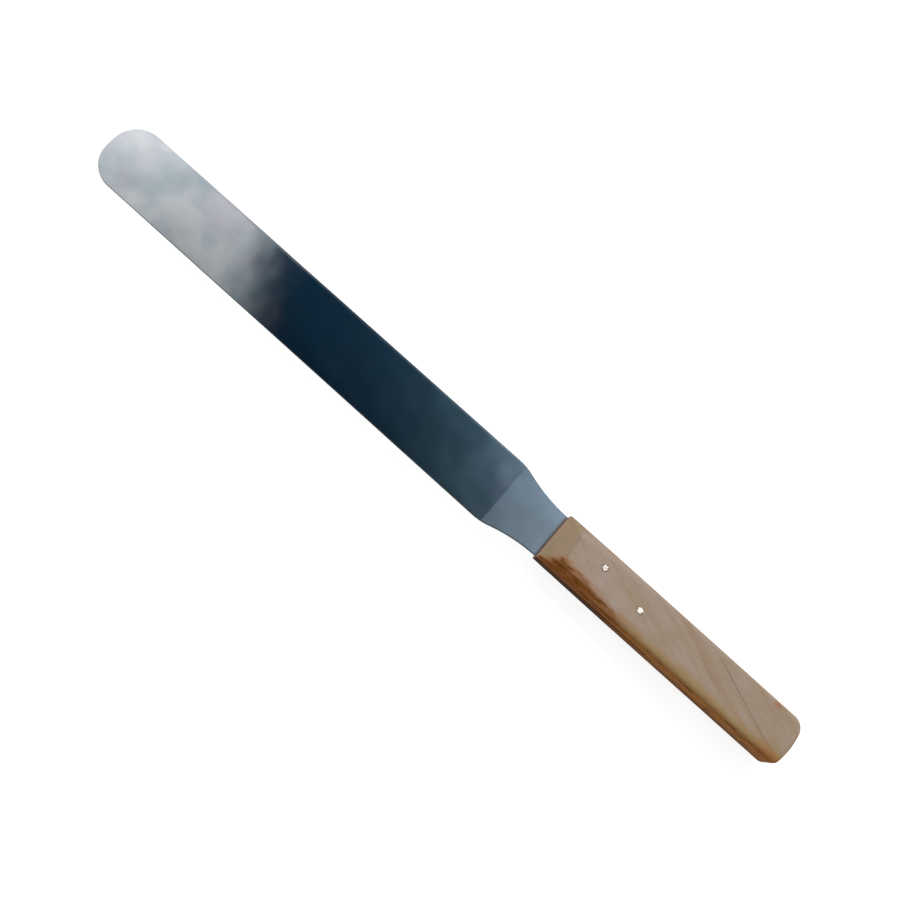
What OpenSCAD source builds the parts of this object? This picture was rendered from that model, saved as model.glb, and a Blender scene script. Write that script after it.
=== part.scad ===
/* [Blade] */
// Length of the blade from the front of the handle to its tip
blade_l = 200; // [150:0.5:260]
// Width of the blade at its shoulder
blade_w = 25.4; // [23:0.1:28]
// Width of the blade just behind its rounded tip
tip_w = 24.3; // [21:0.1:25]
// Radius of the two corners of the tip
tip_corner_r = 10; // [6:0.1:10.4]
// Radius of the slow bow across the end of the tip
tip_bow_r = 40; // [30:1:80]
// Thickness of the blade at its tip
tip_t = 0.8; // [0.5:0.05:1.1]

/* [Neck] */
// Width of the neck where it enters the handle
neck_w = 17.6; // [15:0.1:17.8]
// Distance from the handle to the start of the full blade width
shoulder_l = 25.5; // [24:0.1:34]
// Radius of the hollow curve beside the handle
neck_r = 63; // [40:1:75]
// Thickness of the neck and the tang
neck_t = 1.6; // [1.4:0.05:2]
// Distance from the handle to the line where the grinding starts
grind_l = 20.3; // [16:0.1:24]
// Length of the run-out of the grinding wheel
grind_run = 4; // [1:0.1:6]
// Depth of the run-out on each face
grind_d = 0.05; // [0.02:0.01:0.2]

/* [Tang] */
// Length of the tang inside the handle
tang_l = 50; // [44:0.5:70]
// Gap between the tang and each wall of its saw cut
kerf_gap = 0.05; // [0:0.01:0.15]
// Gap between the end of the tang and the bottom of the saw cut
kerf_end_gap = 0.4; // [0:0.1:1]

/* [Handle] */
// Length of the handle
handle_l = 108.5; // [90:0.5:140]
// Width of the handle
handle_w = 18.2; // [18:0.1:22]
// Thickness of the handle
handle_t = 12.5; // [11:0.1:16]
// Length of the front bevel on the top and on the underside
bevel_l = 6.7; // [4:0.1:9]
// Depth of the front bevel
bevel_d = 2.1; // [1:0.1:3]
// Radius along the four long edges
edge_r = 1.8; // [1:0.1:2.4]
// Radius of the left corner of the butt, seen from above
left_butt_r = 2.6; // [2.4:0.1:6]
// Radius of the right corner of the butt, seen from above
right_butt_r = 5; // [4:0.1:6]
// Radius of the slow bow across the butt
butt_bow_r = 30; // [22:1:60]
// Radius of the upper and lower edges of the butt
butt_edge_r = 2.2; // [1:0.1:3]

/* [Spoke-shaved facets] */
// Width of the left facets at the front of the handle
left_facet_w = 5.4; // [3:0.1:6]
// Width of the right facets at the front of the handle
right_facet_w = 4.4; // [3:0.1:6]
// Slope of the facets down from the flat faces
facet_slope = 22; // [16:1:30]
// Angle at which the facets narrow towards the butt
facet_taper = 4.9; // [3.5:0.1:8]

/* [Pins] */
// Diameter of the wire that the pins are cut from
pin_d = 2.2; // [1.6:0.1:3]
// How far the peened ends spread past the wire, all round
pin_spread = 0.3; // [0.1:0.05:0.6]
// Depth of the countersinks that the ends are peened into
countersink_h = 0.5; // [0.3:0.05:1]
// Gap between a pin and its bore
pin_gap = 0.03; // [0.01:0.01:0.08]
// Distance of the front pin from the front of the handle
front_pin_x = 19.8; // [14:0.1:24]
// Distance of the front pin to the right of the centreline
front_pin_side = 2.7; // [-3:0.1:3]
// Distance of the rear pin from the front of the handle
rear_pin_x = 38.2; // [30:0.1:41]
// Distance of the rear pin to the right of the centreline
rear_pin_side = -0.3; // [-3:0.1:3]

/* [Hidden] */
$fn = 96;

// How far the shape-cutting solids reach past what they cut
past = 2;

// The hollow neck arc and the round shoulder arc meet on one tangent
shoulder_rise = (blade_w - neck_w) / 2;
arc_sum = (pow(shoulder_rise, 2) + pow(shoulder_l, 2)) / (2 * shoulder_rise);
hollow_r = min(neck_r, 0.9 * arc_sum);
shoulder_r = arc_sum - hollow_r;
arc_turn = asin(shoulder_l / arc_sum);
arcs_meet = hollow_r * sin(arc_turn);

// At rest the spatula lies on its tip and on the rear edge of the lower bevel
rest_drop = handle_t / 2 - tip_t / 2;
rest_tilt = atan(rest_drop / (blade_l + bevel_l));
rest_lift = handle_t / 2 * cos(rest_tilt) - bevel_l * sin(rest_tilt);
rest_shift = (handle_l - blade_l) / 2 * cos(rest_tilt);

// Distance from the apex of a bowed end back to the centre of a corner
function end_set_back(width, corner_r, bow_r) =
    bow_r - sqrt(pow(bow_r - corner_r, 2) - pow(width / 2 - corner_r, 2));

// Angle from the middle of a bow to where it runs into a corner
function bow_turn(width, corner_r, bow_r) =
    asin((width / 2 - corner_r) / (bow_r - corner_r));

// Every piece is drawn level, with the front of the handle at x = 0 and the
// middle of the steel at z = 0, and is then laid down as it comes to rest
module at_rest() {
    translate([rest_shift, 0, rest_lift])
        rotate([0, rest_tilt, 0])
            children();
}

// Outline of a bowed end with a left and a right round corner, its apex at the origin
module bowed_end(width, left_r, right_r, bow_r) {
    wedge_l = bow_r + past;
    left_h = wedge_l * tan(bow_turn(width, left_r, bow_r));
    right_h = wedge_l * tan(bow_turn(width, right_r, bow_r));
    translate([-end_set_back(width, left_r, bow_r), width / 2 - left_r])
        circle(r = left_r);
    translate([-end_set_back(width, right_r, bow_r), right_r - width / 2])
        circle(r = right_r);
    translate([-bow_r, 0])
        intersection() {
            circle(r = bow_r);
            polygon([[0, 0], [wedge_l, -right_h], [wedge_l, left_h]]);
        }
}

// Outline of the waisted neck, narrow at x = 0 and as wide as the blade at its end
module neck_outline() {
    difference() {
        translate([0, -blade_w / 2])
            square([shoulder_l, blade_w]);
        for (s = [-1, 1]) {
            intersection() {
                translate([0, s * (neck_w / 2 + hollow_r)])
                    circle(r = hollow_r);
                translate([-past, s * blade_w / 2 - blade_w / 2])
                    square([past + arcs_meet, blade_w]);
            }
            difference() {
                translate([arcs_meet, s > 0 ? 0 : -blade_w / 2 - past])
                    square([shoulder_l - arcs_meet, blade_w / 2 + past]);
                translate([shoulder_l, s * (blade_w / 2 - shoulder_r)])
                    circle(r = shoulder_r);
            }
        }
    }
}

// Outline of the whole steel piece, seen from above
module blade_outline() {
    tip_start = blade_l - end_set_back(tip_w, tip_corner_r, tip_bow_r);
    translate([-tang_l, -neck_w / 2])
        square([tang_l, neck_w]);
    neck_outline();
    polygon([
        [shoulder_l, -blade_w / 2],
        [tip_start, -tip_w / 2],
        [tip_start, tip_w / 2],
        [shoulder_l, blade_w / 2]
    ]);
    translate([blade_l, 0])
        bowed_end(tip_w, tip_corner_r, tip_corner_r, tip_bow_r);
}

// Section along the steel: an even neck, the run-out, then a long taper
module blade_section() {
    neck_h = neck_t / 2;
    ground_h = neck_h - grind_d;
    upper = [
        [-tang_l - past, neck_h],
        [grind_l, neck_h],
        [grind_l + grind_run, ground_h],
        [blade_l, tip_t / 2],
        [blade_l + past, tip_t / 2]
    ];
    lower = [for (i = [len(upper) - 1 : -1 : 0]) [upper[i].x, -upper[i].y]];
    polygon(concat(upper, lower));
}

// Outline of the handle, seen from above
module handle_outline() {
    left_l = handle_l - end_set_back(handle_w, left_butt_r, butt_bow_r);
    right_l = handle_l - end_set_back(handle_w, right_butt_r, butt_bow_r);
    polygon([
        [0, -handle_w / 2],
        [0, handle_w / 2],
        [-left_l, handle_w / 2],
        [-left_l, 0],
        [-right_l, 0],
        [-right_l, -handle_w / 2]
    ]);
    translate([-handle_l, 0])
        mirror([1, 0])
            bowed_end(handle_w, left_butt_r, right_butt_r, butt_bow_r);
}

// Section along the handle, with its front bevels and its soft butt
module handle_side() {
    half_t = handle_t / 2;
    polygon([
        [0, -half_t + bevel_d],
        [0, half_t - bevel_d],
        [-bevel_l, half_t],
        [-handle_l + butt_edge_r, half_t],
        [-handle_l + butt_edge_r, -half_t],
        [-bevel_l, -half_t]
    ]);
    translate([-handle_l, -half_t])
        rounded_rectangle(2 * butt_edge_r + past, handle_t, butt_edge_r);
}

// Rectangle with four round corners, its lower left corner at the origin
module rounded_rectangle(length, height, r) {
    translate([r, 0])
        square([length - 2 * r, height]);
    translate([0, r])
        square([length, height - 2 * r]);
    for (x = [r, length - r], y = [r, height - r])
        translate([x, y])
            circle(r = r);
}

// Cuts a flat along the upper left edge, widest at the front of the handle
module facet(width) {
    translate([0, handle_w / 2 - width, handle_t / 2])
        rotate([0, 0, -facet_taper])
            rotate([-facet_slope, 0, 0])
                translate([-handle_l, -past, 0])
                    cube([handle_l + handle_w, handle_w, handle_t]);
}

// The four facets, above and below, left and right
module facets() {
    for (face = [0, 1])
        mirror([0, 0, face]) {
            facet(left_facet_w);
            mirror([0, 1, 0])
                facet(right_facet_w);
        }
}

// Saw cut from the front of the handle that takes the tang
module kerf() {
    kerf_l = tang_l + kerf_end_gap;
    kerf_h = neck_t + 2 * kerf_gap;
    translate([-kerf_l, -handle_w, -kerf_h / 2])
        cube([kerf_l + past, 2 * handle_w, kerf_h]);
}

// A wire whose ends spread into cones at the upper and lower face of the handle,
// and which runs on past each face by the given overlength
module spread_wire(r, overlength) {
    cone_h = countersink_h + overlength;
    cylinder(r = r, h = handle_t + 2 * overlength, center = true);
    for (face = [0, 1])
        mirror([0, 0, face])
            translate([0, 0, handle_t / 2 - countersink_h])
                cylinder(r1 = r, r2 = r + pin_spread * cone_h / countersink_h, h = cone_h);
}

// The countersunk bores for both pins, through the wood and the tang
module pin_bores() {
    for (p = [[front_pin_x, front_pin_side], [rear_pin_x, rear_pin_side]])
        translate([-p.x, -p.y, 0])
            spread_wire(pin_d / 2 + pin_gap, past);
}

// A pin peened at both ends and filed flush with the wood
module pin(x, side) {
    translate([-x, -side, 0])
        spread_wire(pin_d / 2, 0);
}

module blade() {
    color("#8b97a1")
        at_rest()
            difference() {
                intersection() {
                    translate([0, 0, -neck_t])
                        linear_extrude(2 * neck_t)
                            blade_outline();
                    translate([0, blade_w, 0])
                        rotate([90, 0, 0])
                            linear_extrude(2 * blade_w)
                                blade_section();
                }
                pin_bores();
            }
}

module handle() {
    color("#a88d6e")
        at_rest()
            difference() {
                intersection() {
                    translate([0, handle_w, 0])
                        rotate([90, 0, 0])
                            linear_extrude(2 * handle_w)
                                handle_side();
                    translate([-handle_l - past, 0, 0])
                        rotate([90, 0, 90])
                            linear_extrude(handle_l + 2 * past)
                                translate([-handle_w / 2, -handle_t / 2])
                                    rounded_rectangle(handle_w, handle_t, edge_r);
                    translate([0, 0, -handle_t])
                        linear_extrude(2 * handle_t)
                            handle_outline();
                }
                facets();
                kerf();
                pin_bores();
            }
}

module front_pin() {
    color("#e4dad2")
        at_rest()
            pin(front_pin_x, front_pin_side);
}

module rear_pin() {
    color("#e4dad2")
        at_rest()
            pin(rear_pin_x, rear_pin_side);
}

blade();
handle();
front_pin();
rear_pin();
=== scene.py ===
import math
from functools import partial

import bmesh
import bpy
from mathutils import Matrix, Vector, noise


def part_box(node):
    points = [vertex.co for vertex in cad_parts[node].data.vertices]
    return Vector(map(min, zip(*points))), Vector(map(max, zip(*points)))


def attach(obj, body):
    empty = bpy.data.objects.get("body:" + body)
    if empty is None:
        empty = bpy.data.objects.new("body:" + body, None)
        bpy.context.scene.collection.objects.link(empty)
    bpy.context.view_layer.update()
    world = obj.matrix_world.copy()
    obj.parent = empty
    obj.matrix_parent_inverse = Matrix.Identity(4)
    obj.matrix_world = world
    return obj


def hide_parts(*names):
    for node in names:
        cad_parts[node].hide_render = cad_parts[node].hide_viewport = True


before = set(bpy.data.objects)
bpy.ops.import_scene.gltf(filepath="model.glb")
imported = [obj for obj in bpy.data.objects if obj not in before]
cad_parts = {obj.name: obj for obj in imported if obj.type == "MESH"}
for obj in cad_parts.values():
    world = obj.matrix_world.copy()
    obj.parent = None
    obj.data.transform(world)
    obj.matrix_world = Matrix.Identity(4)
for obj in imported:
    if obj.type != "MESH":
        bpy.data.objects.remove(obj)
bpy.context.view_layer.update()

bl_info = {
    "name": "Lab spatula",
    "version": (1, 0, 0),
    "blender": (4, 5, 0),
    "location": "View3D > Sidebar > Spatula",
    "description": "A steel spatula with a riveted wooden handle, on a pale studio floor",
    "category": "Add Mesh",
}

BLADE_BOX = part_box("blade")
HANDLE_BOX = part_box("handle")
MM = 0.001
IMAGE_PX = 900
WELD = 0.001 * MM
NECK_STEPS, CORNER_STEPS, BOW_STEPS, DOME_STEPS, ROUND_STEPS = 24, 28, 14, 8, 48


def size(label, text, default_mm):
    """A length kept in metres, whose default is written in millimetres."""
    return bpy.props.FloatProperty(
        name=label, description=text, default=default_mm * MM, min=0, precision=5,
        unit="LENGTH", subtype="DISTANCE")


def offset(label, text, default_mm):
    """A length that may be negative, whose default is written in millimetres."""
    return bpy.props.FloatProperty(
        name=label, description=text, default=default_mm * MM, precision=5,
        unit="LENGTH", subtype="DISTANCE")


def turn(label, text, default_degrees):
    """An angle kept in radians, whose default is written in degrees."""
    return bpy.props.FloatProperty(
        name=label, description=text, default=math.radians(default_degrees),
        unit="ROTATION", subtype="ANGLE")


def share(label, text, default):
    """A plain number from 0 to 1."""
    return bpy.props.FloatProperty(
        name=label, description=text, default=default, min=0, max=1, subtype="FACTOR")


def linear(hex_colour):
    """The linear red, green, blue and alpha of an sRGB hex colour."""
    parts = [int(hex_colour[i:i + 2], 16) / 255 for i in (1, 3, 5)]
    return (*[c / 12.92 if c <= 0.04045 else ((c + 0.055) / 1.055) ** 2.4 for c in parts], 1)


def colour(label, text, hex_colour):
    """A colour whose default is written as sRGB hex."""
    return bpy.props.FloatVectorProperty(
        name=label, description=text, default=linear(hex_colour), size=4,
        min=0, max=1, subtype="COLOR")


class BladeSizes(bpy.types.PropertyGroup):
    length: size("Length", "From the front of the handle to the tip", 200)
    width: size("Width", "At the shoulder", (BLADE_BOX[1].y - BLADE_BOX[0].y) / MM)
    tip_width: size("Tip width", "Just behind the rounded tip", 24.3)
    tip_corner_r: size("Tip corner", "Radius of the two corners of the tip", 10)
    tip_bow_r: size("Tip bow", "Radius of the slow bow across the tip", 40)
    tip_t: size("Tip thickness", "Steel at the tip", 0.8)
    neck_w: size("Neck width", "Where the steel enters the handle", 17.6)
    neck_r: size("Neck curve", "Radius of the hollow curve beside the handle", 63)
    neck_t: size("Neck thickness", "Steel at the neck and the tang", 1.6)
    shoulder_l: size("Shoulder", "From the handle to the full width", 25.5)
    grind_l: size("Grind start", "From the handle to the first grinding marks", 20.3)
    grind_run: size("Grind run-out", "Length of the wheel's run-out", 4)
    grind_d: size("Grind depth", "Depth of the run-out on each face, polished over", 0.01)
    tang_l: size("Tang", "Length of the steel inside the handle", 50)
    rim_r: size("Rim", "Rounding of the rim", 0.36)


class HandleSizes(bpy.types.PropertyGroup):
    length: size("Length", "From its front to its butt", 108.5)
    width: size("Width", "Across the handle", (HANDLE_BOX[1].y - HANDLE_BOX[0].y) / MM)
    thickness: size("Thickness", "Through the handle", 12.5)
    bevel_l: size("Bevel length", "Front bevel, above and below", 6.7)
    bevel_d: size("Bevel depth", "How far the front bevel comes down", 2.1)
    edge_r: size("Edge", "Radius along the long edges", 1.8)
    left_butt_r: size("Left butt corner", "Radius of the butt's left corner from above", 2.6)
    right_butt_r: size("Right butt corner", "Radius of the butt's right corner from above", 5)
    butt_bow_r: size("Butt bow", "Radius of the slow bow across the butt", 30)
    left_facet_w: size("Left facets", "Width at the front of the handle", 5.4)
    right_facet_w: size("Right facets", "Width at the front of the handle", 4.4)
    facet_slope: turn("Facet slope", "Slope down from the flat faces", 22)
    facet_taper: turn("Facet taper", "Angle at which the facets run out", 4.9)
    kerf_gap: size("Kerf gap", "Between the tang and its saw cut", 0.05)
    kerf_end_gap: size("Kerf end gap", "Past the end of the tang", 0.4)
    grain: size("Mesh spacing", "Spacing of the even mesh that is rubbed down", 0.35)
    rubbed: bpy.props.IntProperty(
        name="Rubbed down", description="Passes that soften the arrises", default=4, min=0)


class PinSizes(bpy.types.PropertyGroup):
    wire_d: size("Wire", "Diameter of the wire", 2.2)
    spread: size("Spread", "How far the peened ends spread past the wire", 0.3)
    sink: size("Countersink", "Depth of the countersinks", 0.5)
    gap: size("Gap", "Between a pin and its bore", 0.03)
    front_x: size("Front pin", "Distance behind the front of the handle", 19.8)
    front_side: offset("Front pin side", "Distance to the right of the middle", 2.7)
    rear_x: size("Rear pin", "Distance behind the front of the handle", 38.2)
    rear_side: offset("Rear pin side", "Distance to the right of the middle", -0.3)
    dome: size("Dome", "How far the hammered heads swell", 0.03)
    dent: size("Dents", "Depth of the hammer's dents", 0.03)


class SteelLook(bpy.types.PropertyGroup):
    bright: colour("Bright steel", "Polished face of the blade", "#D8DBDE")
    haze: colour("Haze", "Cooler clouds in the polish", "#B8C4CA")
    bloom: colour("Bloom", "Faint violet clouds in the polish", "#CBC8D2")
    neck: colour("Neck", "Steel in front of the grind", "#A5B4BC")
    neck_cloud: colour("Neck clouds", "Bluer clouds in the neck", "#AEBDCA")
    # Painted shade: the dark colour of the left rim, and its dimmed sheen below
    edge: colour("Blanked edge", "Dull sheared left rim of the steel", "#3C4144")
    edge_sheen: colour("Edge sheen", "Dims the sheared rim's gloss at a low angle", "#B8B8B8")
    # Painted shade and painted reflection of the wood on the steel next to the handle
    wood_shade_and_reflection: colour("Tarnish", "Steel beside the wood", "#9A8478")
    patina: colour("Tang patina", "Stained steel inside the saw cut", "#7A4A1C")
    polish: share("Polish", "Roughness of the polished face", 0.065)
    neck_finish: share("Neck finish", "Roughness of the unground neck", 0.2)
    edge_finish: share("Edge finish", "Roughness of the blanked edge", 0.45)
    worn_finish: share("Worn finish", "Roughness where the right rim is scuffed", 0.2)
    patina_finish: share("Patina finish", "Roughness of the stained tang", 0.7)


class BeechLook(bpy.types.PropertyGroup):
    front_face: colour("Front face", "Greyed, rosier wood near the blade", "#AF9C90")
    rear_face: colour("Rear face", "Greyed, yellower wood near the butt", "#A6937F")
    # Partly painted shade: the bevel is darker than the faces because of its slope
    bevel: colour("Bevel", "Yellower wood of the front bevels", "#A38A72")
    olive: colour("Olive", "Greener patches of the front bevels", "#978865")
    band: colour("Growth bands", "Warmer bands of the growth rings", "#A38A70")
    line: colour("Late wood", "Dark lines and flecks", "#6F5A42")
    # Orange wood, and a painted highlight where it runs along the arris in front
    orange_and_highlight: colour("Worn arris", "Orange wood where the face meets the facet", "#A87850")
    tan: colour("Tan", "Yellower wood where the brown fades out behind", "#A08050")
    burnish: colour("Burnish", "Brown of the handled sides", "#774517")
    side: colour("Side", "Brown of the left side in front", "#864C14")
    rear_side: colour("Rear side", "Paler brown of the left side behind", "#A86A24")
    # Painted light: lifts the front face of the handle above the neck, which lies in shade
    painted_front_light: colour("End grain", "Rosy end grain above the neck", "#D0A88C")
    # Also the colour of the painted shade on the lower part of the left side
    deep_brown_and_shade: colour("Deep brown", "Darker patches in the brown", "#55300F")
    # Also the colour of the painted highlight spots on the arris in front
    stain_and_highlight: colour("Stains", "Reddish brown spots at both ends", "#A0622E")
    # Painted shadow: the dark line under the lower edge in front, where the handle lies on the
    # floor
    painted_contact_shadow: colour("Grime", "Dark dirt under the lower edge at the front", "#140C06")
    finish: share("Finish", "Roughness of the dry faces", 0.66)
    burnished: share("Burnished", "Roughness of the handled sides", 0.5)
    ring_turn: turn("Ring turn", "Lie of the growth rings off the length", -20.6)


class WireLook(bpy.types.PropertyGroup):
    bright: colour("Bright", "Planishing marks round the pin heads", "#FFF0E8")
    dull: colour("Dull", "Duller middle of the pin heads", "#9A8A80")
    dirt: colour("Dirt", "Dirt round the rim of the pin heads", "#8E7865")
    finish: share("Finish", "Roughness of the hammered wire", 0.35)


class StageLook(bpy.types.PropertyGroup):
    azimuth: turn("Azimuth", "Where the camera stands round the object", 167.58)
    elevation: turn("Elevation", "How high the camera stands", 73.87)
    roll: turn("Roll", "How far the camera is turned on its own axis", 54.28)
    distance: size("Distance", "From the camera to its aim", 450)
    aim_x: offset("Aim X", "Aim along the object", -0.19)
    aim_y: offset("Aim Y", "Aim across the object", 0.63)
    aim_z: size("Aim height", "Aim above the floor", 3)
    focal_px: bpy.props.FloatProperty(
        name="Focal length", description="In pixels of the square image", default=1317.7)
    sky: share("Sky", "Level of the soft light from all round", 0.52)
    key: bpy.props.FloatProperty(
        name="Key", description="Power of the large soft lamp", default=13, unit="POWER")
    key_w: size("Key size", "Width of the large soft lamp", 900)
    key_x: offset("Key X", "Place of the lamp along the object", -100)
    key_y: offset("Key Y", "Place of the lamp beside the object", -1100)
    key_z: size("Key height", "Height of the lamp", 1100)
    floor_w: size("Floor", "Width of the paper floor", 6000)
    paper: colour("Paper", "Colour that the floor gives back", "#B4B4B4")
    floor_gap: size("Floor gap", "Hair's breadth under the object", 0.05)
    floor_lift: share("Floor lift", "Glow that keeps the paper white to the eye", 0.8)
    card_from: offset("Card from", "End of the card over the handle", -160)
    card_to: size("Card to", "End of the card over the tip", 450)
    card_y: offset("Card side", "How far the card hangs beside the object", -199)
    card_z: size("Card height", "Height of the card", 700)
    card_w: size("Card width", "Width of the card", 800)
    card_fade: size("Card fade", "Beside its middle, where the card is lightest or darkest", 100)
    card_light: bpy.props.FloatProperty(
        name="Card light", description="Level of the card's right side", default=1.8)
    card_dim: bpy.props.FloatProperty(
        name="Card dim", description="Level of the card's left side", default=0.2)
    card_slant: bpy.props.FloatProperty(
        name="Card slant", description="Slope of the dark panel's end across the card",
        default=0.48)
    card_ragged: size("Ragged end", "How uneven the dark panel's end is", 60)


def at_rest():
    """Lays a level piece down as it rests, on its tip and on the lower bevel's rear edge."""
    blade, handle = bpy.context.scene.spatula_blade, bpy.context.scene.spatula_handle
    tilt = math.atan((handle.thickness - blade.tip_t) / 2 / (blade.length + handle.bevel_l))
    lift = handle.thickness / 2 * math.cos(tilt) - handle.bevel_l * math.sin(tilt)
    shift = (handle.length - blade.length) / 2 * math.cos(tilt)
    return Matrix.Translation((shift, 0, lift)) @ Matrix.Rotation(tilt, 4, "Y")


def drawn_line(bm, start, x, y, z=0.0):
    """Draws a straight edge from a vertex and gives the new end."""
    end = bmesh.ops.extrude_vert_indiv(bm, verts=[start])["verts"][0]
    end.co = (x, y, z)
    return end


def drawn_arc(bm, start, centre, angle, steps, axis=(0, 0, 1)):
    """Draws an arc from a vertex round a centre and gives the new end."""
    made = bmesh.ops.spin(
        bm, geom=[start], cent=centre, axis=axis, dvec=(0, 0, 0),
        angle=angle, steps=steps, use_merge=False, use_duplicate=False)
    return next(g for g in made["geom_last"] if isinstance(g, bmesh.types.BMVert))


def bowed_end(bm, start, apex_x, half_w, corner_r, bow_r, outward, hand):
    """Draws half of a bowed end with a round corner, from the left (1) or right (-1) side."""
    side = half_w - corner_r
    half_bow = math.asin(side / (bow_r - corner_r))
    clockwise = -outward * hand
    corner = drawn_arc(
        bm, start, (apex_x - outward * set_back_of(half_w, corner_r, bow_r), hand * side, 0),
        clockwise * (math.pi / 2 - half_bow), CORNER_STEPS)
    return drawn_arc(bm, corner, (apex_x - outward * bow_r, 0, 0), clockwise * half_bow,
                     BOW_STEPS)


def set_back_of(half_w, corner_r, bow_r):
    """Distance from the apex of a bowed end back to the centre of a corner."""
    return bow_r - math.sqrt((bow_r - corner_r) ** 2 - (half_w - corner_r) ** 2)


def blank_cut_from(bm, thickness):
    """Joins the left and right half outlines, fills them and gives them their thickness."""
    bmesh.ops.remove_doubles(bm, verts=bm.verts[:], dist=WELD)
    lower = bmesh.ops.contextual_create(bm, geom=bm.edges[:])["faces"]
    bmesh.ops.translate(bm, verts=bm.verts[:], vec=(0, 0, -thickness / 2))
    made = bmesh.ops.extrude_face_region(bm, geom=lower)["geom"]
    upper = [g for g in made if isinstance(g, bmesh.types.BMVert)]
    bmesh.ops.translate(bm, verts=upper, vec=(0, 0, thickness))
    bmesh.ops.recalc_face_normals(bm, faces=bm.faces[:])


def mesh_object(bm, name):
    """Puts a bmesh into the scene as a new object at the origin."""
    mesh = bpy.data.meshes.new(name)
    bm.to_mesh(mesh)
    bm.free()
    made = bpy.data.objects.new(name, mesh)
    bpy.context.scene.collection.objects.link(made)
    return made


def apply_modifier(piece, kind, **settings):
    """Runs one modifier on a mesh object and takes its result into the mesh."""
    modifier = piece.modifiers.new(kind.title(), kind)
    for key, value in settings.items():
        setattr(modifier, key, value)
    graph = bpy.context.evaluated_depsgraph_get()
    result = bpy.data.meshes.new_from_object(piece.evaluated_get(graph))
    piece.modifiers.clear()
    old, piece.data = piece.data, result
    bpy.data.meshes.remove(old)


def saw_away(piece, cutter):
    """Cuts a solid out of a piece and throws the cutter away."""
    apply_modifier(piece, "BOOLEAN", object=cutter, operation="DIFFERENCE", solver="EXACT")
    bpy.data.objects.remove(cutter)


def hand_over(piece, slot_name, node, *materials):
    """Gives a piece its materials and lets it stand for its CAD node."""
    for material in materials:
        piece.data.materials.append(material)
    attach(piece, "root")
    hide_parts(node)


def add_node(tree, kind, inputs=None, stops=(), **settings):
    """Adds a shader node with its settings, its ramp's stops and its inputs' values or links."""
    node = tree.nodes.new("ShaderNode" + kind)
    for key, value in settings.items():
        setattr(node, key, value)
    if stops:
        elements = node.color_ramp.elements
        while len(elements) < len(stops):
            elements.new(1)
        for element, (place, shade) in zip(elements, stops):
            element.position, element.color = place, shade
    for key, value in (inputs or {}).items():
        socket = node.inputs[key] if isinstance(key, int) else next(
            s for s in node.inputs if s.name == key and s.enabled)
        if isinstance(value, bpy.types.Node):
            value = next(s for s in value.outputs if s.enabled)
        if isinstance(value, bpy.types.NodeSocket):
            tree.links.new(value, socket)
        else:
            socket.default_value = value
    return node


def node_adder(owner):
    """Clears a new material's or world's nodes and gives the function that adds to them."""
    owner.use_nodes = True
    owner.node_tree.nodes.clear()
    return partial(add_node, owner.node_tree)


def level_place(add):
    """Object coordinates as drawn level, in millimetres from the front of the handle."""
    rest = at_rest()
    coords = add("TexCoord")
    return add("Mapping", {"Vector": coords.outputs["Object"], "Location": rest.translation,
                           "Rotation": rest.to_euler(), "Scale": (MM, MM, MM)},
               vector_type="TEXTURE")


def stained_metal(add, x, steel, rough, **more):
    """Paints shade and a reflection of the wood onto the steel beside the wood, browns it inside,
    then makes it metal.
    """
    look = bpy.context.scene.steel_look
    # Painted shade and a painted reflection of the wood, over the last 1.8 mm of steel before the
    # handle
    wood_shade_and_reflection = add("MapRange", {"Value": x, "From Min": 1.8, "From Max": 0.1, "To Max": 0.4},
                  interpolation_type="SMOOTHSTEP")
    steel = add("Mix", {"Factor": wood_shade_and_reflection, "A": steel, "B": look.wood_shade_and_reflection}, data_type="RGBA")
    inside = add("MapRange", {"Value": x, "From Min": 0.05, "From Max": -0.2},
                 interpolation_type="SMOOTHSTEP")
    steel = add("Mix", {"Factor": inside, "A": steel, "B": look.patina}, data_type="RGBA")
    rough = add("Mix", {"Factor": inside, "A": rough, "B": look.patina_finish})
    metal = add("Math", {0: 1.0, 1: inside}, operation="SUBTRACT")
    shader = add("BsdfPrincipled",
                 {"Base Color": steel, "Metallic": metal, "Roughness": rough, **more})
    add("OutputMaterial", {"Surface": shader})


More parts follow.
